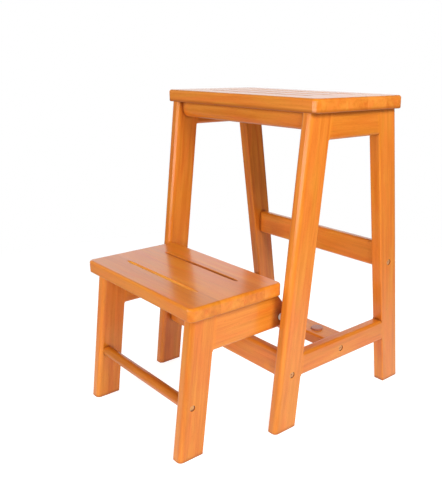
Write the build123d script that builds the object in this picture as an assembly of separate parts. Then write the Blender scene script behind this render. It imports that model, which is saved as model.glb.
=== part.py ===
from build123d import *
import math
import os

# Folding two-step stool in lacquered hardwood, standing open, in millimetres.
# +X is the stool's right, -Y its front (the step side), +Z up, the floor at Z = 0.

# Boards
stool_height = 500.0
board_thickness = 20.0
seat_width = 360.0
seat_depth = 193.0
seat_side_overhang = 11.0
seat_end_overhang = 1.5
board_corner_radius = 9.0
board_top_round = 4.0
board_bottom_round = 2.0

# Run-out grooves in the boards, cut with a round-nosed disc
groove_depth = 3.0
groove_radius = 3.5
groove_runout_radius = 90.0
groove_spacing = 73.0
step_groove_length = 196.0
seat_groove_length = 250.0
seat_groove_spacing = 46.0
seat_groove_count = 3
step_groove_count = 2

# Legs and side rails
leg_rake = 7.0
leg_width = 43.0
leg_thickness = 20.0
leg_outer_round = 7.0
leg_inner_round = 2.0
top_rail_height = 39.0
lower_rail_height = 37.0
rail_round = 5.0

# Cross members of the frame
apron_height = 25.5
apron_thickness = 20.0
apron_setback = 9.5
apron_round = 11.0
cross_rail_height = 43.0
cross_rail_thickness = 16.0
cross_rail_round = 5.0
rear_rail_bottom = 215.0
rest_bar_width = 42.0
rest_bar_height = 18.5
rest_bar_reach = 114.0
rest_bar_round = 3.0
pad_diameter = 20.0
pad_thickness = 3.0
pad_spacing = 206.0
pad_chamfer = 0.8

# Swinging step
step_height = 235.0
step_board_depth = 167.5
step_board_side_gap = 4.5
step_board_setback = 8.5
step_side_overhang = 11.5
step_front_overhang = 11.0
step_leg_rake = 7.6
step_leg_width = 41.0
step_leg_thickness = 22.0
step_rail_below_rod = 17.5
rung_diameter = 17.0
rung_height = 81.0
rung_setback = 14.0
rung_socket_depth = 10.0

# Pivot
rod_height = 175.0
rod_diameter = 8.0
rod_socket_depth = 12.0
spacer_diameter = 12.0

# Hidden fasteners
dowel_diameter = 8.0
dowel_in_leg = 12.0
dowel_in_rail = 18.0
side_dowel_inset = 9.0
apron_dowel_inset = 8.5
apron_dowel_pitch = 11.0
step_dowel_inset = 12.0
bolt_diameter = 6.0
bolt_head_diameter = 9.0
bolt_head_height = 4.5
bolt_socket_width = 4.0
bolt_socket_depth = 2.2
bolt_recess_depth = 6.0
bolt_inset = 11.0
bar_fastener_inset = 8.5
nut_diameter = 10.0
nut_setback = 28.0
nut_wall = 2.0
screw_diameter = 4.0
screw_head_diameter = 8.0
screw_head_height = 3.0
screw_into_board = 12.0
seat_screw_recess = 15.0
seat_screw_spacing = 56.0
step_screw_recess = 30.0
step_screw_from_leg = 36.0
step_screw_from_rod = 38.0
rung_screw_recess = 5.0
rung_screw_in_rung = 26.0

# Clearances
rod_clearance = 0.05
dowel_clearance = 0.1
dowel_end_gap = 1.0
bolt_clearance = 0.25
head_clearance = 0.5
nut_clearance = 0.1
nut_end_gap = 1.0
screw_clearance = 0.1
spacer_gap = 0.3
rest_gap = 0.3
rung_clearance = 0.1

# Heights
underside = stool_height - board_thickness
step_underside = step_height - board_thickness
step_rail_bottom = rod_height - step_rail_below_rod
pad_top = 2 * rod_height - step_height - rest_gap
bar_top = pad_top - pad_thickness
lower_middle = bar_top - rest_bar_height / 2
lower_rail_bottom = lower_middle - lower_rail_height / 2
lower_rail_top = lower_rail_bottom + lower_rail_height
front_rail_bottom = lower_middle - cross_rail_height / 2
top_rail_bottom = underside - top_rail_height

# Half widths, measured across the stool
frame_half = seat_width / 2 - seat_side_overhang
inner_half = frame_half - leg_thickness
leg_middle = (frame_half + inner_half) / 2
step_board_half = inner_half - step_board_side_gap
step_half = step_board_half - step_side_overhang
step_inner_half = step_half - step_leg_thickness
step_leg_middle = (step_half + step_inner_half) / 2

# Rake: the legs lean in the side view only
slope = math.tan(math.radians(leg_rake))
leg_section = leg_width / math.cos(math.radians(leg_rake))
step_slope = math.tan(math.radians(step_leg_rake))
step_leg_section = step_leg_width / math.cos(math.radians(step_leg_rake))

# Places along the depth, first from the seat's middle, then moved so that the open stool is centred
front_top = -seat_depth / 2 + seat_end_overhang
rod_from_seat = front_top - (underside - rod_height) * slope + leg_section / 2
step_front_from_seat = rod_from_seat - step_board_setback - step_board_depth
step_foot_from_seat = step_front_from_seat + step_front_overhang - step_underside * step_slope
rear_foot_from_seat = -front_top + underside * slope
seat_y = -(step_foot_from_seat + rear_foot_from_seat) / 2
rod_y = seat_y + rod_from_seat
step_board_rear = rod_y - step_board_setback
step_board_front = step_board_rear - step_board_depth


def front_leg_front(z):
    """Depth of a front leg's front edge at a height."""
    return seat_y + front_top - (underside - z) * slope


def front_leg_middle(z):
    return front_leg_front(z) + leg_section / 2


def front_leg_back(z):
    return front_leg_front(z) + leg_section


def rear_leg_front(z):
    return 2 * seat_y - front_leg_back(z)


def rear_leg_middle(z):
    return 2 * seat_y - front_leg_middle(z)


def step_leg_front(z):
    return step_board_front + step_front_overhang - (step_underside - z) * step_slope


def step_leg_back(z):
    return step_leg_front(z) + step_leg_section


def mirrored(shape):
    """The same shape on the other side of the stool."""
    return mirror(shape, about=Plane.YZ)


def round_bar(start, direction, diameter, length):
    """A cylinder from a start point along a direction."""
    base = (Align.CENTER, Align.CENTER, Align.MIN)
    return Plane(origin=start, z_dir=direction) * Cylinder(diameter / 2, length, align=base)


def along_x(x_low, x_high, y, z, diameter):
    return round_bar((x_low, y, z), (1, 0, 0), diameter, x_high - x_low)


def along_y(x, y_low, y_high, z, diameter):
    return round_bar((x, y_low, z), (0, 1, 0), diameter, y_high - y_low)


def along_z(x, y, z_low, z_high, diameter):
    return round_bar((x, y, z_low), (0, 0, 1), diameter, z_high - z_low)


def groove(length, y, surface):
    """Cutter for one groove across a board, with a long run-out at both ends."""
    middle = surface - groove_depth + groove_radius
    turn = math.acos(1 - groove_depth / groove_runout_radius)
    half_flat = length / 2 - groove_runout_radius * math.sin(turn)
    lift = 1.6 * turn

    def run_out(angle):
        across = half_flat + groove_runout_radius * math.sin(angle)
        return across, middle + groove_runout_radius * (1 - math.cos(angle))

    half_x, half_z = run_out(lift / 2)
    end_x, end_z = run_out(lift)
    left = ThreePointArc((-end_x, y, end_z), (-half_x, y, half_z), (-half_flat, y, middle))
    flat = Line((-half_flat, y, middle), (half_flat, y, middle))
    right = ThreePointArc((half_flat, y, middle), (half_x, y, half_z), (end_x, y, end_z))
    path = Wire([left, flat, right])
    section = Plane(origin=path @ 0, z_dir=path % 0) * Circle(groove_radius)
    return sweep(section, path=path)


def board(width, depth, middle_y, bottom, groove_length, count, pitch):
    """A rounded board with its grooves."""
    plan = RectangleRounded(width, depth, board_corner_radius)
    slab = Pos(0, middle_y, bottom) * extrude(plan, board_thickness)
    slab = fillet(slab.faces().sort_by(Axis.Z)[-1].edges(), board_top_round)
    slab = fillet(slab.faces().sort_by(Axis.Z)[0].edges(), board_bottom_round)
    for index in range(count):
        y = middle_y + (index - (count - 1) / 2) * pitch
        slab -= groove(groove_length, y, bottom + board_thickness)
    return slab


def raked_leg(foot, thickness, width, angle, height, free_runs):
    """A leg with level ends on a foot centre; a positive angle puts its top further back than its foot.

    Its inner edges are rounded only along the free runs between the rails, which meet it flush.
    """
    lean = math.copysign(1, angle)
    rake = math.radians(abs(angle))
    depth = width / math.cos(rake)
    section = Rectangle(thickness, depth)
    rows = section.vertices().group_by(Axis.Y)
    section = fillet(rows[0] if lean > 0 else rows[-1], leg_outer_round)
    direction = Vector(0, lean * math.sin(rake), math.cos(rake))
    leg = extrude(section, amount=height / math.cos(rake), dir=direction)
    corner = Rectangle(2 * leg_inner_round, 2 * leg_inner_round)
    places = [Pos(x, -lean * leg_inner_round) for x in (-leg_inner_round, leg_inner_round)]
    corner -= [place * Circle(leg_inner_round) for place in places]
    for low, high in free_runs:
        shift = Pos(0, lean * low * math.tan(rake), low)
        for x in (-thickness / 2, thickness / 2):
            edge = Pos(x, lean * depth / 2) * corner
            leg -= shift * extrude(edge, amount=(high - low) / math.cos(rake), dir=direction)
    return Pos(*foot) * leg


def side_rail(outline, x_low, x_high):
    """A rail cut to an outline in the side view."""
    face = Plane.YZ * make_face(Polyline(*outline, close=True))
    return Pos(x_low, 0, 0) * extrude(face, x_high - x_low, dir=(1, 0, 0))


def cross_member(half_length, middle_y, bottom, thickness, height):
    """A straight piece across the stool."""
    base = (Align.CENTER, Align.CENTER, Align.MIN)
    return Pos(0, middle_y, bottom) * Box(2 * half_length, thickness, height, align=base)


# Dowels: the right-hand ones are listed with the holes that they need
dowel_hole = dowel_diameter + 2 * dowel_clearance


def dowel_along_y(x, joint_y, z, into_leg):
    """A dowel across a leg joint; into_leg is -1 or 1, the way from the joint into the leg."""
    leg_end = joint_y + into_leg * dowel_in_leg
    rail_end = joint_y - into_leg * dowel_in_rail
    low, high = sorted((leg_end, rail_end))
    pin = along_y(x, low, high, z, dowel_diameter)
    hole = along_y(x, low - dowel_end_gap, high + dowel_end_gap, z, dowel_hole)
    return pin, hole


def dowel_along_x(joint_x, y, z):
    """A dowel from a cross member's right end into the piece outside it."""
    low = joint_x - dowel_in_rail
    high = joint_x + dowel_in_leg
    pin = along_x(low, high, y, z, dowel_diameter)
    hole = along_x(low - dowel_end_gap, high + dowel_end_gap, y, z, dowel_hole)
    return pin, hole


def side_dowels(rail_bottom, rail_height):
    """Dowels and holes at both ends of one right-hand side rail."""
    pairs = []
    for z in (rail_bottom + side_dowel_inset, rail_bottom + rail_height - side_dowel_inset):
        pairs.append(dowel_along_y(leg_middle, front_leg_back(z), z, -1))
        pairs.append(dowel_along_y(leg_middle, rear_leg_front(z), z, 1))
    return pairs


side_pairs = side_dowels(top_rail_bottom, top_rail_height)
side_pairs += side_dowels(lower_rail_bottom, lower_rail_height)
side_holes = [hole for pin, hole in side_pairs]

front_apron_y = front_leg_front(underside) + apron_setback + apron_thickness / 2
rear_apron_y = 2 * seat_y - front_apron_y
apron_pairs = []
for apron_y in (front_apron_y, rear_apron_y):
    for row in range(2):
        z = underside - apron_dowel_inset - row * apron_dowel_pitch
        apron_pairs.append(dowel_along_x(inner_half, apron_y, z))
apron_holes = [hole for pin, hole in apron_pairs]

front_rail_y = front_leg_middle(front_rail_bottom + cross_rail_height / 2)
rear_rail_y = rear_leg_middle(rear_rail_bottom + cross_rail_height / 2)
bar_y = rod_y + rest_bar_reach
cross_pairs = []
for rail_y, rail_bottom in ((front_rail_y, front_rail_bottom), (rear_rail_y, rear_rail_bottom)):
    z = rail_bottom + cross_rail_height - bolt_inset
    cross_pairs.append(dowel_along_x(inner_half, rail_y, z))
bar_dowel_y = bar_y + rest_bar_width / 2 - bar_fastener_inset
cross_pairs.append(dowel_along_x(inner_half, bar_dowel_y, lower_middle))
cross_holes = [hole for pin, hole in cross_pairs]

# Bolts with barrel nuts: front lower rail, rear middle rail, rest bar
bolt_seat = frame_half - bolt_recess_depth
nut_x = inner_half - nut_setback
bolt_tip = nut_x - nut_diameter / 2 - bolt_diameter / 2


def bolt(y, z):
    """A socket-head bolt through the right-hand side, its head sunk in the outer face."""
    shank = along_x(bolt_tip, bolt_seat, y, z, bolt_diameter)
    head = along_x(bolt_seat, bolt_seat + bolt_head_height, y, z, bolt_head_diameter)
    socket_plane = Plane(origin=(bolt_seat + bolt_head_height, y, z), z_dir=(1, 0, 0))
    hexagon = RegularPolygon(bolt_socket_width / 2, 6, major_radius=False)
    socket = extrude(socket_plane * hexagon, -bolt_socket_depth)
    return shank + head - socket


def bolt_hole(y, z):
    hole_diameter = bolt_diameter + 2 * bolt_clearance
    shank = along_x(bolt_tip - dowel_end_gap, frame_half, y, z, hole_diameter)
    recess = along_x(bolt_seat, frame_half + 1, y, z, bolt_head_diameter + 2 * head_clearance)
    return shank + recess


def nut_along_y(y_front, y_back, bolt_y, z):
    """A barrel nut dropped in from a cross rail's back face."""
    low = y_front + nut_wall
    nut = along_y(nut_x, low, y_back - nut_end_gap, z, nut_diameter)
    hole = along_y(nut_x, low, y_back + 1, z, nut_diameter + 2 * nut_clearance)
    bore = along_x(nut_x - nut_diameter, nut_x + nut_diameter, bolt_y, z, bolt_diameter + 2 * nut_clearance)
    return nut - bore, hole


def nut_along_z(bolt_y, bottom, top, bolt_z):
    """A barrel nut pushed up into the rest bar from below."""
    high = top - nut_wall
    nut = along_z(nut_x, bolt_y, bottom + nut_end_gap, high, nut_diameter)
    hole = along_z(nut_x, bolt_y, bottom - 1, high, nut_diameter + 2 * nut_clearance)
    bore_diameter = bolt_diameter + 2 * nut_clearance
    bore = along_x(nut_x - nut_diameter, nut_x + nut_diameter, bolt_y, bolt_z, bore_diameter)
    return nut - bore, hole


front_bolt_z = front_rail_bottom + bolt_inset
rear_bolt_z = rear_rail_bottom + bolt_inset
bar_bolt_y = bar_y - rest_bar_width / 2 + bar_fastener_inset
bolt_places = [(front_rail_y, front_bolt_z), (rear_rail_y, rear_bolt_z), (bar_bolt_y, lower_middle)]
bolts = [bolt(y, z) for y, z in bolt_places]
bolt_holes = [bolt_hole(y, z) for y, z in bolt_places]
nut_pairs = []
for rail_y, z in bolt_places[:2]:
    front_face = rail_y - cross_rail_thickness / 2
    nut_pairs.append(nut_along_y(front_face, front_face + cross_rail_thickness, rail_y, z))
nut_pairs.append(nut_along_z(bar_bolt_y, bar_top - rest_bar_height, bar_top, lower_middle))
nut_holes = [hole for nut, hole in nut_pairs]


# Wood screws: each has a pan head and a plain shank, with a sunk hole
def screw_along_z(x, y, bottom, recess, top):
    """A screw driven upwards from the bottom of a sunk hole."""
    seat = bottom + recess
    shank = along_z(x, y, seat, top, screw_diameter)
    head = along_z(x, y, seat - screw_head_height, seat, screw_head_diameter)
    shank_hole = along_z(x, y, bottom, top + dowel_end_gap, screw_diameter + 2 * screw_clearance)
    head_hole = along_z(x, y, bottom - 1, seat, screw_head_diameter + 2 * head_clearance)
    return shank + head, shank_hole + head_hole


seat_screw_pairs = []
for side in (-1, 1):
    y = seat_y + side * seat_screw_spacing / 2
    screw_top = underside + screw_into_board
    seat_screw_pairs.append(screw_along_z(leg_middle, y, top_rail_bottom, seat_screw_recess, screw_top))
seat_screw_holes = [hole for screw, hole in seat_screw_pairs]

step_screw_pairs = []
for y in (step_leg_back(step_underside) + step_screw_from_leg, rod_y - step_screw_from_rod):
    screw_top = step_underside + screw_into_board
    screw_bottom = step_rail_bottom
    step_screw_pairs.append(screw_along_z(step_leg_middle, y, screw_bottom, step_screw_recess, screw_top))
step_screw_holes = [hole for screw, hole in step_screw_pairs]

rung_y = step_leg_front(rung_height) + rung_setback
rung_end = step_inner_half + rung_socket_depth
rung_screw_seat = step_half - rung_screw_recess
rung_screw_tip = rung_end - rung_screw_in_rung
rung_screw = along_x(rung_screw_tip, rung_screw_seat, rung_y, rung_height, screw_diameter)
rung_screw_head_end = rung_screw_seat + screw_head_height
rung_screw += along_x(rung_screw_seat, rung_screw_head_end, rung_y, rung_height, screw_head_diameter)
rung_screw_hole = along_x(
    rung_screw_tip - dowel_end_gap, step_half, rung_y, rung_height, screw_diameter + 2 * screw_clearance
)
rung_screw_hole += along_x(
    rung_screw_seat, step_half + 1, rung_y, rung_height, screw_head_diameter + 2 * head_clearance
)

# Step rails to step legs
step_pairs = []
for z in (step_rail_bottom + step_dowel_inset, step_underside - step_dowel_inset):
    step_pairs.append(dowel_along_y(step_leg_middle, step_leg_back(z), z, -1))
step_holes = [hole for pin, hole in step_pairs]

# Pivot rod, held in blind holes of the front legs, and its spacers
rod_end = inner_half + rod_socket_depth
rod_hole_diameter = rod_diameter + 2 * rod_clearance
pivot_rod = along_x(-rod_end, rod_end, rod_y, rod_height, rod_diameter)
rod_hole = along_x(0, rod_end, rod_y, rod_height, rod_hole_diameter)
spacer = along_x(step_half + spacer_gap, inner_half, rod_y, rod_height, spacer_diameter) - rod_hole

# Boards
seat_board = board(
    seat_width, seat_depth, seat_y, underside, seat_groove_length, seat_groove_count, seat_groove_spacing
)
step_board = board(
    2 * step_board_half,
    step_board_depth,
    (step_board_front + step_board_rear) / 2,
    step_underside,
    step_groove_length,
    step_groove_count,
    groove_spacing,
)
for hole in seat_screw_holes:
    seat_board -= [hole, mirrored(hole)]
for hole in step_screw_holes:
    step_board -= [hole, mirrored(hole)]

# Right-hand legs and rails of the frame
frame_free_runs = [(0, lower_rail_bottom), (lower_rail_top, top_rail_bottom)]
front_foot = (leg_middle, front_leg_middle(0), 0)
right_front_leg = raked_leg(front_foot, leg_thickness, leg_width, leg_rake, underside, frame_free_runs)
right_front_leg -= side_holes + apron_holes + cross_holes + bolt_holes + [rod_hole]
rear_foot = (leg_middle, rear_leg_middle(0), 0)
right_rear_leg = raked_leg(rear_foot, leg_thickness, leg_width, -leg_rake, underside, frame_free_runs)
right_rear_leg -= side_holes + apron_holes + cross_holes + bolt_holes


def frame_side_rail(bottom, height):
    """Outline between the raked legs, cut out over the leg thickness."""
    top = bottom + height
    outline = [
        (front_leg_back(bottom), bottom),
        (rear_leg_front(bottom), bottom),
        (rear_leg_front(top), top),
        (front_leg_back(top), top),
    ]
    return side_rail(outline, inner_half, frame_half)


right_top_rail = frame_side_rail(top_rail_bottom, top_rail_height)
right_top_rail = fillet(right_top_rail.edges().filter_by(Axis.Y).group_by(Axis.Z)[0], rail_round)
right_top_rail -= side_holes + seat_screw_holes
right_lower_rail = frame_side_rail(lower_rail_bottom, lower_rail_height)
right_lower_rail = fillet(right_lower_rail.edges().filter_by(Axis.Y), rail_round)
right_lower_rail -= side_holes + [cross_holes[2], bolt_holes[2]]


# Cross members
def both_ends(shape, holes):
    """Cut the same holes into both ends of a cross member."""
    for hole in holes:
        shape -= [hole, mirrored(hole)]
    return shape


def apron(middle_y, front):
    """An apron whose lower outer edge is broadly rounded; front is True under the seat's front."""
    bar = cross_member(inner_half, middle_y, underside - apron_height, apron_thickness, apron_height)
    lower = bar.edges().filter_by(Axis.X).group_by(Axis.Z)[0].sort_by(Axis.Y)
    outer = lower[0] if front else lower[-1]
    bar = fillet(outer, apron_round)
    lower = bar.edges().filter_by(Axis.X).group_by(Axis.Z)[0].sort_by(Axis.Y)
    inner = lower[-1] if front else lower[0]
    return fillet(inner, rail_round)


front_apron = both_ends(apron(front_apron_y, True), apron_holes[:2])
rear_apron = both_ends(apron(rear_apron_y, False), apron_holes[2:])


def cross_rail(middle_y, bottom, holes):
    rail = cross_member(inner_half, middle_y, bottom, cross_rail_thickness, cross_rail_height)
    rail = fillet(rail.edges().filter_by(Axis.X), cross_rail_round)
    return both_ends(rail, holes)


front_lower_rail = cross_rail(front_rail_y, front_rail_bottom, [cross_holes[0], bolt_holes[0], nut_holes[0]])
rear_middle_rail = cross_rail(rear_rail_y, rear_rail_bottom, [cross_holes[1], bolt_holes[1], nut_holes[1]])
rest_bar = cross_member(inner_half, bar_y, bar_top - rest_bar_height, rest_bar_width, rest_bar_height)
rest_bar = fillet(rest_bar.edges().filter_by(Axis.X), rest_bar_round)
rest_bar = both_ends(rest_bar, [cross_holes[2], bolt_holes[2], nut_holes[2]])
rest_pad = along_z(pad_spacing / 2, bar_y, bar_top, pad_top, pad_diameter)
rest_pad = chamfer(rest_pad.edges().group_by(Axis.Z)[-1], pad_chamfer)

# Right-hand step leg, and the step rail with its rounded end about the rod
step_foot = (step_leg_middle, step_leg_front(0) + step_leg_section / 2, 0)
step_right_leg = raked_leg(
    step_foot, step_leg_thickness, step_leg_width, step_leg_rake, step_underside, [(0, step_rail_bottom)]
)
rung_socket = along_x(0, rung_end, rung_y, rung_height, rung_diameter + 2 * rung_clearance)
step_right_leg -= step_holes + [rung_socket, rung_screw_hole]

reach_y = step_board_rear - rod_y
reach_z = step_underside - rod_height
reach = math.hypot(reach_y, reach_z)
# On a low step the round end stops one rounding under the board, so that the rounding can run out
highest_touch = math.asin(min(1.0, (reach_z - rail_round) / step_rail_below_rod))
corner_touch = math.atan2(reach_z, reach_y) - math.acos(step_rail_below_rod / reach)
touch_angle = min(corner_touch, highest_touch)
touch_y = rod_y + step_rail_below_rod * math.cos(touch_angle)
touch_z = rod_height + step_rail_below_rod * math.sin(touch_angle)
swing_middle = (touch_angle - math.pi / 2) / 2
swing_y = rod_y + step_rail_below_rod * math.cos(swing_middle)
swing_z = rod_height + step_rail_below_rod * math.sin(swing_middle)
rail_tail_y = touch_y - (step_underside - touch_z) * math.tan(touch_angle)
joint_low = (step_leg_back(step_rail_bottom), step_rail_bottom)
joint_high = (step_leg_back(step_underside), step_underside)
rail_edge = Wire(
    [
        Line(joint_high, joint_low),
        Line(joint_low, (rod_y, step_rail_bottom)),
        ThreePointArc((rod_y, step_rail_bottom), (swing_y, swing_z), (touch_y, touch_z)),
        Line((touch_y, touch_z), (rail_tail_y, step_underside)),
        Line((rail_tail_y, step_underside), joint_high),
    ]
)
rail_face = Plane.YZ * make_face(rail_edge)
step_right_rail = Pos(step_inner_half, 0, 0) * extrude(rail_face, step_leg_thickness, dir=(1, 0, 0))
step_right_rail = fillet(step_right_rail.edges().filter_by(Axis.Y).group_by(Axis.Z)[0], rail_round)
step_right_rail -= step_holes + step_screw_holes + [rod_hole]

rung_length_half = rung_end
step_rung = along_x(-rung_length_half, rung_length_half, rung_y, rung_height, rung_diameter)
step_rung -= [rung_screw_hole, mirrored(rung_screw_hole)]


def pairs_group(shapes):
    """Right-hand pieces and their mirror images, as separate solids of one group."""
    solids = []
    for shape in shapes:
        solids += shape.solids()
        solids += mirrored(shape).solids()
    return Compound(solids)


nodes = {
    "seat_board": seat_board,
    "right_front_leg": right_front_leg,
    "left_front_leg": mirrored(right_front_leg),
    "right_rear_leg": right_rear_leg,
    "left_rear_leg": mirrored(right_rear_leg),
    "right_top_rail": right_top_rail,
    "left_top_rail": mirrored(right_top_rail),
    "right_lower_rail": right_lower_rail,
    "left_lower_rail": mirrored(right_lower_rail),
    "front_apron": front_apron,
    "rear_apron": rear_apron,
    "front_lower_rail": front_lower_rail,
    "rear_middle_rail": rear_middle_rail,
    "rest_bar": rest_bar,
    "rest_pads": pairs_group([rest_pad]),
    "pivot_rod": pivot_rod,
    "rod_spacers": pairs_group([spacer]),
    "frame_bolts": pairs_group(bolts),
    "barrel_nuts": pairs_group([nut for nut, hole in nut_pairs]),
    "side_rail_dowels": pairs_group([pin for pin, hole in side_pairs]),
    "apron_dowels": pairs_group([pin for pin, hole in apron_pairs]),
    "cross_rail_dowels": pairs_group([pin for pin, hole in cross_pairs]),
    "seat_screws": pairs_group([screw for screw, hole in seat_screw_pairs]),
    "step_board": step_board,
    "step_right_leg": step_right_leg,
    "step_left_leg": mirrored(step_right_leg),
    "step_right_rail": step_right_rail,
    "step_left_rail": mirrored(step_right_rail),
    "step_rung": step_rung,
    "rung_screws": pairs_group([rung_screw]),
    "step_rail_dowels": pairs_group([pin for pin, hole in step_pairs]),
    "step_board_screws": pairs_group([screw for screw, hole in step_screw_pairs]),
}

os.makedirs("parts", exist_ok=True)
for name, shape in nodes.items():
    export_step(shape, f"parts/{name}.step")
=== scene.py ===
import math
from collections import namedtuple

import bpy
from mathutils import Matrix, Vector

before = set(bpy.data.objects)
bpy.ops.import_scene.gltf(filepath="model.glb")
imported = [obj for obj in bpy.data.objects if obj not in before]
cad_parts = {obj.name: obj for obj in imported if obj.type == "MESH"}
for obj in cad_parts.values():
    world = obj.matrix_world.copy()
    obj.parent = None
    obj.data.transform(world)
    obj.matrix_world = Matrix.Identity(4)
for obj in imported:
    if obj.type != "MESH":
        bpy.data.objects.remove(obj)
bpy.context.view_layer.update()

# Camera read off the photograph: metres, degrees, and pixels of the 442 by 500 picture
IMAGE_WIDTH = 442
IMAGE_HEIGHT = 500
CAMERA_PLACE = (0.76896, -0.64328, 0.54465)
CAMERA_AZIMUTH = 48.104
CAMERA_ELEVATION = 17.465
CAMERA_ROLL = 0.462
FOCAL_PIXELS = 619.43
CENTRE_X = 263.49
CENTRE_Y = 258.17
SENSOR = 36.0

# Occlusion at which an edge's mask or a joint's painted shade starts to show and at which it
# shows fully, and the rays that measure it
EDGE_LIMITS = (0.97, 0.72)
JOINT_SHADE_LIMITS = (0.80, 0.45)
OCCLUSION_SAMPLES = 8

WHITE = (1.0, 1.0, 1.0, 1.0)


def opaque(colour):
    """A colour of three parts with full alpha; an output socket stays as it is."""
    if isinstance(colour, bpy.types.NodeSocket):
        return colour
    return (*colour, 1.0)


class Graph:
    """A node tree, with short calls to add and join nodes."""

    def __init__(self, holder):
        holder.use_nodes = True
        self.nodes = holder.node_tree.nodes
        self.links = holder.node_tree.links

    def add(self, kind, **settings):
        node = self.nodes.new(kind)
        for key, value in settings.items():
            setattr(node, key, value)
        return node

    def feed(self, target, value):
        """Set an input socket to a constant, or join it to an output."""
        if isinstance(value, bpy.types.NodeSocket):
            self.links.new(value, target)
        else:
            target.default_value = value

    def operate(self, kind, operation, values):
        node = self.add(kind, operation=operation)
        for socket, value in zip(node.inputs, values):
            self.feed(socket, value)
        return node

    def math(self, operation, *values):
        return self.operate("ShaderNodeMath", operation, values).outputs[0]

    def vector_math(self, operation, *values):
        return self.operate("ShaderNodeVectorMath", operation, values)

    def split(self, vector):
        node = self.add("ShaderNodeSeparateXYZ")
        self.feed(node.inputs[0], vector)
        return node.outputs

    def noise(self, vector, along, across, detail, roughness, distortion=0.0):
        """A noise that varies about so many times a metre along the first axis and across it."""
        node = self.add("ShaderNodeTexNoise")
        scaled = self.vector_math("MULTIPLY", vector, (along, across, across))
        self.feed(node.inputs["Vector"], scaled.outputs[0])
        node.inputs["Scale"].default_value = 1.0
        node.inputs["Detail"].default_value = detail
        node.inputs["Roughness"].default_value = roughness
        node.inputs["Distortion"].default_value = distortion
        return node.outputs[0]

    def remap(self, value, low, high, new_low=0.0, new_high=1.0):
        node = self.add("ShaderNodeMapRange")
        for socket, number in zip(node.inputs, (value, low, high, new_low, new_high)):
            self.feed(socket, number)
        return node.outputs[0]

    def mix(self, factor, first, second, blend="MIX"):
        """Mix two colours, which are the node's sockets 6 and 7."""
        node = self.add("ShaderNodeMix", data_type="RGBA", blend_type=blend)
        self.feed(node.inputs[0], factor)
        self.feed(node.inputs[6], opaque(first))
        self.feed(node.inputs[7], opaque(second))
        return node.outputs[2]

    def blend_in(self, mask, amount, first, second):
        """Mix the second colour into the first by a share of a mask."""
        return self.mix(self.math("MULTIPLY", mask, amount), first, second)

    def ramp(self, value, stops):
        node = self.add("ShaderNodeValToRGB")
        self.feed(node.inputs[0], value)
        elements = node.color_ramp.elements
        while len(elements) < len(stops):
            elements.new(0.5)
        for element, (place, colour) in zip(elements, stops):
            element.position = place
            element.color = opaque(colour)
        return node.outputs[0]


class Material(Graph):
    """A material's node tree, built around its Principled shader."""

    def __init__(self, name):
        self.material = bpy.data.materials.new(name)
        super().__init__(self.material)
        self.shader = self.nodes["Principled BSDF"]
        self.place = self.add("ShaderNodeTexCoord").outputs["Object"]

    def speckle(self, scale, detail, roughness):
        """A noise over the piece that is the same in all directions."""
        return self.noise(self.place, scale, scale, detail, roughness)

    def bump(self, height, strength, distance):
        node = self.add("ShaderNodeBump")
        node.inputs["Strength"].default_value = strength
        node.inputs["Distance"].default_value = distance
        self.feed(node.inputs["Height"], height)
        return node.outputs[0]

    def occlusion(self, reach, limits, **settings):
        node = self.add("ShaderNodeAmbientOcclusion", samples=OCCLUSION_SAMPLES, **settings)
        node.inputs["Distance"].default_value = reach
        return self.remap(node.outputs["AO"], *limits)

    def worn_edges(self, reach, patches):
        """A mask of the convex edges within reach, broken up by a noise."""
        edge = self.occlusion(reach, EDGE_LIMITS, inside=True, only_local=True)
        return self.math("MULTIPLY", edge, self.remap(patches, 0.35, 0.65, 0.35, 1.0))

    def joints(self, reach):
        """A mask of painted shade in the inner corners and joints within reach."""
        return self.occlusion(reach, JOINT_SHADE_LIMITS)

    def shade(self, **sockets):
        for name, value in sockets.items():
            self.feed(self.shader.inputs[name.replace("_", " ")], value)
        return self.material


# Turns that bring each piece's grain onto the first axis of its texture space
LEG_RAKE = math.radians(7.0)
QUARTER = math.radians(90.0)
GRAIN_ACROSS = (0.0, 0.0, 0.0)
GRAIN_DEEP = (0.0, 0.0, -QUARTER)
GRAIN_LEAN_BACK = (LEG_RAKE, QUARTER, 0.0)
GRAIN_LEAN_FRONT = (-LEG_RAKE, QUARTER, 0.0)

# How far each piece's place in the grain is from the piece before it, and the farthest
# that chance moves a board's staves
GRAIN_SHIFT = (0.37, 0.11, 0.23)
STAVE_SHIFT = (3.0, 1.0, 1.0)

# The stained wood by tone, and the colours that are mixed in or multiplied with it
HONEY_STOPS = [
    (0.00, (0.20, 0.045, 0.004)),
    (0.25, (0.50, 0.122, 0.007)),
    (0.45, (0.64, 0.177, 0.015)),
    (0.58, (0.72, 0.220, 0.025)),
    (0.78, (0.80, 0.272, 0.043)),
    (1.00, (0.98, 0.410, 0.060)),
]
RED_FLAME = (1.0, 0.87, 0.8)
GOLD_FLAME = (1.0, 1.12, 1.0)
# Painted light: a warmer, darker tint on the boards' top faces only
BOARD_TOP_LIGHT_TINT = (0.96, 0.91, 0.82)
PORE_COLOUR = (0.28, 0.060, 0.006)
# Lighter edges: partly wear, partly a painted highlight on the rounded edges
WORN_AND_LIT_EDGE_COLOUR = (0.80, 0.255, 0.010)
# Painted shade, for the joints and inner corners and for the boards' lower edges
PAINTED_SHADE_COLOUR = (0.19, 0.030, 0.003)

# Shares of the broad, the streaky and the fine grain in the tone, and what centres their sum
BROAD_SHARE = 0.40
STREAK_SHARE = 0.55
FINE_SHARE = 0.22
FIGURE_MIDDLE = 0.085

# Painted shade near the floor: how much darker the wood is there, and up to which height
LOW_SHADE = 0.09
LOW_SHADE_HEIGHT = 0.22

# How far the worn, lighter edges and the painted joint shade reach, and how strongly they show
EDGE_REACH = 0.005
WORN_AND_LIT_EDGE_SHARE = 0.35
BOARD_WORN_AND_LIT_EDGE_SHARE = 0.9
JOINT_SHADE_REACH = 0.010
JOINT_SHADE_SHARE = 0.80
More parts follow.
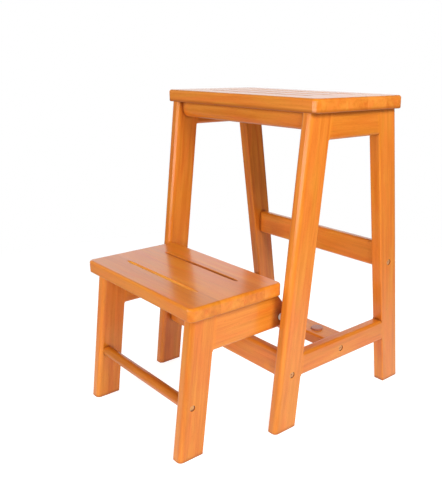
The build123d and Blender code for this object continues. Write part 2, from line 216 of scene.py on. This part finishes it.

# A board's thickness; depths under its top where a groove starts and where its painted light and
# shade is full; half a groove's width; heights over the underside where the lower edge's painted
# shade is full and ends
BOARD_THICKNESS = 0.020
GROOVE_START = 0.0004
GROOVE_FULL_PAINT = 0.0010
GROOVE_HALF_WIDTH = 0.0045
LOWER_SHADE_FULL = 0.0020
LOWER_SHADE_END = 0.0055

# A glued board: height of its top, width of its staves, where the foremost one starts, each
# stave's tone, half the grooves' length, each groove's middle and the tone painted into it, light
# above zero and shade below, and how dark the painted shade along its lower edge is
Board = namedtuple(
    "Board", "top stave_width first_stave stave_tones groove_half_length grooves lower_edge"
)
SEAT = Board(
    top=0.500,
    stave_width=0.0433,
    first_stave=-0.0433,
    stave_tones=(-0.02, 0.0, -0.03, 0.07, -0.02),
    groove_half_length=0.125,
    grooves=((0.0293, -0.2), (0.0753, -0.2), (0.1213, -0.2)),
    lower_edge=0.55,
)
STEP = Board(
    top=0.235,
    stave_width=0.0404,
    first_stave=-0.2411,
    stave_tones=(0.02, -0.02, 0.05, 0.0, 0.08),
    groove_half_length=0.098,
    grooves=((-0.1643, 0.5), (-0.0913, -0.3)),
    lower_edge=0.20,
)

# Every wooden piece: grain direction, tone, and how the two boards are glued up; some tones also
# paint light and shade on a whole piece, darker on the left rear leg and the rung, lighter on the
# step's left leg
WOODEN = {
    "seat_board": (GRAIN_ACROSS, 0.09, SEAT),
    "step_board": (GRAIN_ACROSS, 0.03, STEP),
    "right_front_leg": (GRAIN_LEAN_BACK, 0.05),
    "left_front_leg": (GRAIN_LEAN_BACK, 0.04),
    "right_rear_leg": (GRAIN_LEAN_FRONT, 0.02),
    "left_rear_leg": (GRAIN_LEAN_FRONT, -0.06),
    "right_top_rail": (GRAIN_DEEP, -0.02),
    "left_top_rail": (GRAIN_DEEP, 0.0),
    "right_lower_rail": (GRAIN_DEEP, 0.0),
    "left_lower_rail": (GRAIN_DEEP, 0.0),
    "front_apron": (GRAIN_ACROSS, 0.0),
    "rear_apron": (GRAIN_ACROSS, 0.0),
    "front_lower_rail": (GRAIN_ACROSS, -0.03),
    "rear_middle_rail": (GRAIN_ACROSS, 0.05),
    "rest_bar": (GRAIN_ACROSS, 0.02),
    "step_right_leg": (GRAIN_LEAN_BACK, 0.04),
    "step_left_leg": (GRAIN_LEAN_BACK, 0.09),
    "step_right_rail": (GRAIN_DEEP, 0.04),
    "step_left_rail": (GRAIN_DEEP, 0.02),
    "step_rung": (GRAIN_ACROSS, -0.15),
}

# Pieces whose painted joint shade reaches further from a joint than on the others
WIDE_JOINT_SHADE = {"step_right_rail": 0.020, "step_left_rail": 0.020}


def groove_light_and_shade(graph, axes, board):
    """The painted light and shade in a board's grooves: how much lighter or darker each is
    painted.
    """
    across, depth, height = axes
    sunk = graph.remap(height, board.top - GROOVE_START, board.top - GROOVE_FULL_PAINT)
    along = graph.math("LESS_THAN", graph.math("ABSOLUTE", across), board.groove_half_length)
    upper = graph.math("GREATER_THAN", height, board.top - BOARD_THICKNESS / 2)
    inside = graph.math("MULTIPLY", graph.math("MULTIPLY", sunk, along), upper)
    total = 0.0
    for middle, tone in board.grooves:
        near = graph.math("COMPARE", depth, middle, GROOVE_HALF_WIDTH)
        total = graph.math("MULTIPLY_ADD", graph.math("MULTIPLY", inside, near), tone, total)
    return total


def glue_up(graph, axes, board, seed, space, level):
    """Give each stave of a board its own tone and its own place in the grain."""
    offset = graph.math("SUBTRACT", axes[1], board.first_stave)
    row = graph.math("FLOOR", graph.math("DIVIDE", offset, board.stave_width))
    for index, stave_tone in enumerate(board.stave_tones):
        chosen = graph.math("COMPARE", row, float(index), 0.5)
        level = graph.math("MULTIPLY_ADD", chosen, stave_tone, level)
    # Painted light and shade in the grooves
    level = graph.math("ADD", level, groove_light_and_shade(graph, axes, board))
    chance = graph.add("ShaderNodeTexWhiteNoise", noise_dimensions="1D")
    graph.feed(chance.inputs["W"], graph.math("ADD", row, seed))
    moved = graph.vector_math("MULTIPLY_ADD", chance.outputs["Color"], STAVE_SHIFT, space)
    return moved.outputs[0], level


def lacquered_wood(name, grain, tone, seed, joint_shade_reach, board=None):
    """Honey-stained, lacquered hardwood whose grain runs along one piece.

    A higher tone is lighter, the seed picks a place in the grain, and a piece that is not a board
    has painted shade within joint_shade_reach of a joint. A board has staves, grooves painted
    lighter and darker, and painted shade along its lower edge instead.
    """
    graph = Material(name)
    turned = graph.add("ShaderNodeMapping")
    graph.feed(turned.inputs["Vector"], graph.place)
    turned.inputs["Rotation"].default_value = grain
    turned.inputs["Location"].default_value = [seed * step for step in GRAIN_SHIFT]
    space = turned.outputs[0]
    axes = graph.split(graph.place)
    height = axes[2]
    # Painted shade: the wood is darker towards the floor
    level = graph.remap(height, 0.0, LOW_SHADE_HEIGHT, tone - LOW_SHADE, tone)
    if board:
        space, level = glue_up(graph, axes, board, seed, space, level)

    broad = graph.noise(space, along=2.2, across=26.0, detail=2.0, roughness=0.5, distortion=0.6)
    streak = graph.noise(space, along=7.0, across=150.0, detail=4.0, roughness=0.6, distortion=0.3)
    fine = graph.noise(space, along=45.0, across=1500.0, detail=2.0, roughness=0.6)
    pores = graph.noise(space, along=230.0, across=2600.0, detail=1.0, roughness=0.5)
    flame = graph.noise(space, along=6.0, across=42.0, detail=2.0, roughness=0.5, distortion=1.2)
    figure = graph.math("MULTIPLY", streak, STREAK_SHARE)
    figure = graph.math("MULTIPLY_ADD", broad, BROAD_SHARE, figure)
    figure = graph.math("MULTIPLY_ADD", fine, FINE_SHARE, figure)
    figure = graph.math("SUBTRACT", figure, FIGURE_MIDDLE)

    colour = graph.ramp(graph.math("ADD", figure, level), HONEY_STOPS)
    tint = graph.mix(graph.remap(flame, 0.35, 0.65), RED_FLAME, GOLD_FLAME)
    colour = graph.mix(1.0, colour, tint, "MULTIPLY")
    pore_mask = graph.remap(pores, 0.66, 0.74, 0.0, 0.45)
    colour = graph.mix(pore_mask, colour, PORE_COLOUR)
    # Worn edges, lighter in colour, which also paint a highlight on the rounded edges, most on the
    # boards
    wear = graph.worn_edges(EDGE_REACH, broad)
    worn_and_lit_share = BOARD_WORN_AND_LIT_EDGE_SHARE if board else WORN_AND_LIT_EDGE_SHARE
    colour = graph.blend_in(wear, worn_and_lit_share, colour, WORN_AND_LIT_EDGE_COLOUR)
    if board:
        # A tint painted on the top faces for the light on them
        top_face = graph.math("GREATER_THAN", height, board.top - GROOVE_START)
        colour = graph.mix(top_face, colour, graph.mix(1.0, colour, BOARD_TOP_LIGHT_TINT, "MULTIPLY"))
        # Painted shade along the board's lower edge
        underside = board.top - BOARD_THICKNESS
        lower_shade_heights = (underside + LOWER_SHADE_END, underside + LOWER_SHADE_FULL)
        painted_shade = graph.remap(height, *lower_shade_heights, 0.0, board.lower_edge)
    else:
        # Painted shade in the joints and inner corners
        painted_shade = graph.math("MULTIPLY", graph.joints(joint_shade_reach), JOINT_SHADE_SHARE)
    colour = graph.mix(painted_shade, colour, PAINTED_SHADE_COLOUR)

    relief = graph.math("SUBTRACT", graph.math("MULTIPLY", fine, 0.5), pore_mask)
    gloss = graph.remap(streak, 0.3, 0.7, 0.30, 0.40)
    return graph.shade(
        Base_Color=colour,
        Roughness=graph.math("MULTIPLY_ADD", wear, 0.08, gloss),
        Normal=graph.bump(relief, strength=0.12, distance=0.0002),
        Coat_Weight=0.6,
        Coat_Roughness=0.18,
        Specular_IOR_Level=0.25,
    )


# How far wear reaches in from the edges of the small pieces
SMALL_EDGE_REACH = 0.001
STEEL_EDGE_REACH = 0.0008

# Steel where its plating is worn, how bright its cloudy patches are, and how far its roughness
# varies either way
BARE_STEEL = (0.78, 0.77, 0.75)
CLOUDY_SHARE = 0.88
ROUGHNESS_SPREAD = 0.04


def bare_wood(name):
    """Unfinished dowel stock."""
    graph = Material(name)
    grain = graph.speckle(300.0, detail=4.0, roughness=0.6)
    colour = graph.ramp(grain, [(0.3, (0.52, 0.36, 0.19)), (0.7, (0.72, 0.55, 0.33))])
    wear = graph.worn_edges(SMALL_EDGE_REACH, grain)
    return graph.shade(
        Base_Color=graph.blend_in(wear, 0.5, colour, (0.80, 0.65, 0.42)),
        Roughness=graph.remap(grain, 0.3, 0.7, 0.62, 0.78),
        Normal=graph.bump(grain, strength=0.2, distance=0.0003),
    )


def bright_steel(name, colour, roughness, metallic=1.0):
    """Drawn or plated steel, with fine marks and a cloudy finish."""
    graph = Material(name)
    marks = graph.noise(graph.place, along=60.0, across=2500.0, detail=2.0, roughness=0.6)
    cloud = graph.speckle(180.0, detail=3.0, roughness=0.55)
    dull = tuple(CLOUDY_SHARE * part for part in colour)
    finish = graph.mix(graph.remap(cloud, 0.35, 0.65), dull, colour)
    wear = graph.worn_edges(STEEL_EDGE_REACH, cloud)
    smooth = roughness - ROUGHNESS_SPREAD
    rough = roughness + ROUGHNESS_SPREAD
    return graph.shade(
        Base_Color=graph.blend_in(wear, 0.4, finish, BARE_STEEL),
        Metallic=metallic,
        Roughness=graph.remap(cloud, 0.3, 0.7, smooth, rough),
        Normal=graph.bump(marks, strength=0.06, distance=0.00002),
    )


def moulded_nylon(name):
    """Off-white spacer plastic, faintly grained and slightly translucent."""
    graph = Material(name)
    grain = graph.speckle(900.0, detail=2.0, roughness=0.5)
    colour = graph.mix(graph.remap(grain, 0.3, 0.7), (0.78, 0.77, 0.72), (0.84, 0.83, 0.79))
    wear = graph.worn_edges(SMALL_EDGE_REACH, grain)
    return graph.shade(
        Base_Color=graph.blend_in(wear, 0.5, colour, (0.62, 0.58, 0.50)),
        Roughness=graph.remap(grain, 0.3, 0.7, 0.40, 0.50),
        Subsurface_Weight=0.1,
        Subsurface_Scale=0.002,
        Normal=graph.bump(grain, strength=0.08, distance=0.0001),
    )


def pad_rubber(name):
    """Brown stop pad, with a pebbled face under a slight shine."""
    graph = Material(name)
    pebble = graph.speckle(1400.0, detail=3.0, roughness=0.6)
    dust = graph.speckle(120.0, detail=2.0, roughness=0.5)
    colour = graph.mix(graph.remap(dust, 0.35, 0.7), (0.36, 0.125, 0.075), (0.44, 0.165, 0.105))
    wear = graph.worn_edges(SMALL_EDGE_REACH, dust)
    return graph.shade(
        Base_Color=graph.blend_in(wear, 0.5, colour, (0.55, 0.24, 0.16)),
        Roughness=graph.remap(pebble, 0.3, 0.7, 0.25, 0.4),
        Normal=graph.bump(pebble, strength=0.1, distance=0.0001),
        Coat_Weight=0.5,
        Coat_Roughness=0.12,
    )


def dress(material, *nodes):
    """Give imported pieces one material."""
    for node in nodes:
        mesh = bpy.data.objects[node].data
        mesh.materials.clear()
        mesh.materials.append(material)


for seed, (node, (grain, tone, *board)) in enumerate(WOODEN.items(), 1):
    joint_shade_reach = WIDE_JOINT_SHADE.get(node, JOINT_SHADE_REACH)
    dress(lacquered_wood(f"wood_{node}", grain, tone, float(seed), joint_shade_reach, *board), node)

dowels = ("side_rail_dowels", "apron_dowels", "cross_rail_dowels", "step_rail_dowels")
dress(bare_wood("dowel_wood"), *dowels)
zinc = bright_steel("zinc_plate", (0.60, 0.58, 0.52), 0.34)
dress(zinc, "barrel_nuts", "seat_screws", "step_board_screws")
bronze = bright_steel("bronze_plate", (0.78, 0.38, 0.12), 0.45, 0.35)
dress(bronze, "frame_bolts", "rung_screws")
dress(bright_steel("drawn_steel", (0.78, 0.78, 0.77), 0.40, 0.75), "pivot_rod")
dress(moulded_nylon("nylon"), "rod_spacers")
dress(pad_rubber("pad_rubber"), "rest_pads")

# The floor's radius and the points on its rim, the direction in which it glows more, and how
# bright the camera sees it
FLOOR_RADIUS = 1.1
RIM_POINTS = 96
GLOW_TOWARDS = (0.74, 0.67, 0.0)
FLOOR_BRIGHTNESS = 0.85


def pale_floor():
    """A round sheet of white paper, which glows as a lamp to light the stool from below, brighter
    near the middle, and which fades out towards its rim and is clear from below.
    """
    mesh = bpy.data.meshes.new("floor")
    turns = [2 * math.pi * step / RIM_POINTS for step in range(RIM_POINTS)]
    rim = [(FLOOR_RADIUS * math.cos(turn), FLOOR_RADIUS * math.sin(turn), 0.0) for turn in turns]
    mesh.from_pydata(rim, [], [range(RIM_POINTS)])
    floor = bpy.data.objects.new("floor", mesh)
    bpy.context.scene.collection.objects.link(floor)
    graph = Material("floor_paper")
    tooth = graph.speckle(30.0, detail=3.0, roughness=0.5)
    reach = graph.vector_math("LENGTH", graph.place).outputs["Value"]
    towards = graph.vector_math("DOT_PRODUCT", graph.place, GLOW_TOWARDS).outputs["Value"]
    glow = graph.remap(reach, 0.25, 0.75, 0.45, 0.10)
    glow = graph.math("ADD", glow, graph.remap(towards, -0.4, 0.4, -0.12, 0.30))
    fade = graph.remap(reach, 0.5, 1.05, 1.0, 0.0)
    by_camera = graph.add("ShaderNodeLightPath").outputs["Is Camera Ray"]
    seen = graph.math("MULTIPLY", by_camera, FLOOR_BRIGHTNESS)
    below = graph.add("ShaderNodeNewGeometry").outputs["Backfacing"]
    mesh.materials.append(graph.shade(
        Base_Color=graph.mix(tooth, (0.44, 0.44, 0.44), (0.48, 0.48, 0.48)),
        Roughness=0.9,
        Specular_IOR_Level=0.2,
        Emission_Color=WHITE,
        Emission_Strength=graph.math("MAXIMUM", glow, seen),
        Alpha=graph.math("MULTIPLY", fade, graph.math("SUBTRACT", 1.0, below)),
    ))


# Brightness of the room by height: the sine of the angle above the horizon, and the level there
ROOM_BANDS = [(-0.30, 0.30), (-0.10, 0.06), (0.08, 0.22), (0.30, 0.22), (0.50, 0.08)]
WALL_BANDS = [(-0.02, 0.0), (0.02, 0.92), (0.34, 1.12), (0.50, 0.0)]
WALL_TURN = math.radians(CAMERA_AZIMUTH + 180.0)
WALL_TOWARDS = (math.sin(WALL_TURN), -math.cos(WALL_TURN), 0.0)


def studio_world():
    """White for the camera; a grey room with one white wall behind the stool for the light."""
    world = bpy.data.worlds.new("studio")
    graph = Graph(world)
    place = graph.add("ShaderNodeTexCoord").outputs["Generated"]
    height = graph.remap(graph.split(place)[2], -1.0, 1.0)

    def levels(bands):
        stops = [((up + 1.0) / 2.0, (level, level, level)) for up, level in bands]
        return graph.ramp(height, stops)

    facing = graph.vector_math("DOT_PRODUCT", place, WALL_TOWARDS).outputs["Value"]
    wall = graph.math("MULTIPLY", levels(WALL_BANDS), graph.remap(facing, 0.25, 0.65))
    room = graph.nodes["Background"]
    graph.feed(room.inputs["Color"], WHITE)
    graph.feed(room.inputs["Strength"], graph.math("ADD", levels(ROOM_BANDS), wall))
    backdrop = graph.add("ShaderNodeBackground")
    graph.feed(backdrop.inputs["Color"], WHITE)
    by_camera = graph.add("ShaderNodeLightPath").outputs["Is Camera Ray"]
    choose = graph.add("ShaderNodeMixShader")
    for socket, value in zip(choose.inputs, (by_camera, room.outputs[0], backdrop.outputs[0])):
        graph.feed(socket, value)
    graph.feed(graph.nodes["World Output"].inputs["Surface"], choose.outputs[0])
    bpy.context.scene.world = world


# Every light: azimuth as the camera's and elevation in degrees, distance, width and height in
# metres, power in watts, and whether the lacquer mirrors it
SOFTBOXES = {
    "front_wall": (12.0, 5.8, 1.6, 2.3, 0.42, 12.0, True),
    "left_strip": (-22.0, 10.5, 1.55, 0.12, 0.45, 1.1, True),
    "near_strip": (34.0, 10.5, 1.55, 0.12, 0.45, 0.45, True),
    "front_box": (-12.0, 22.0, 1.6, 0.8, 0.5, 5.2, False),
    "right_box": (84.0, 35.0, 1.6, 0.45, 0.5, 17.5, False),
    "fill_box": (61.0, 14.0, 1.6, 0.3, 0.45, 6.0, False),
    "top_box": (20.0, 75.0, 1.6, 0.8, 0.8, 1.0, False),
    "back_box": (215.0, 28.0, 1.7, 1.0, 0.7, 8.0, False),
}
LIGHT_TARGET = Vector((0.0, 0.0, 0.25))


def direction(azimuth, elevation):
    """Unit vector from the stool at an azimuth and an elevation in degrees."""
    turn = math.radians(azimuth)
    rise = math.radians(elevation)
    flat = math.cos(rise)
    return Vector((flat * math.sin(turn), -flat * math.cos(turn), math.sin(rise)))


def softbox(name, azimuth, elevation, distance, width, height, power, mirrored):
    """An area light aimed at the stool's middle."""
    place = LIGHT_TARGET + distance * direction(azimuth, elevation)
    light = bpy.data.lights.new(name, "AREA")
    light.shape = "RECTANGLE"
    light.size = width
    light.size_y = height
    light.energy = power
    box = bpy.data.objects.new(name, light)
    box.location = place
    box.rotation_euler = (LIGHT_TARGET - place).to_track_quat("-Z", "Y").to_euler()
    box.visible_camera = False
    box.visible_glossy = mirrored
    bpy.context.scene.collection.objects.link(box)


def photo_camera():
    """The camera that took the photograph."""
    back = direction(CAMERA_AZIMUTH, CAMERA_ELEVATION)
    azimuth = math.radians(CAMERA_AZIMUTH)
    level = Vector((math.cos(azimuth), math.sin(azimuth), 0.0))
    right = Matrix.Rotation(math.radians(CAMERA_ROLL), 3, back) @ level
    up = back.cross(right)
    lens = bpy.data.cameras.new("photo_camera")
    lens.sensor_fit = "AUTO"
    lens.sensor_width = SENSOR
    lens.lens = FOCAL_PIXELS / IMAGE_HEIGHT * SENSOR
    lens.shift_x = (IMAGE_WIDTH / 2 - CENTRE_X) / IMAGE_HEIGHT
    lens.shift_y = (CENTRE_Y - IMAGE_HEIGHT / 2) / IMAGE_HEIGHT
    camera = bpy.data.objects.new("photo_camera", lens)
    turn = Matrix((right, up, back)).transposed()
    camera.matrix_world = Matrix.Translation(CAMERA_PLACE) @ turn.to_4x4()
    bpy.context.scene.collection.objects.link(camera)
    bpy.context.scene.camera = camera


pale_floor()
studio_world()
for name, settings in SOFTBOXES.items():
    softbox(name, *settings)
bpy.context.scene.view_settings.view_transform = "Standard"
photo_camera()
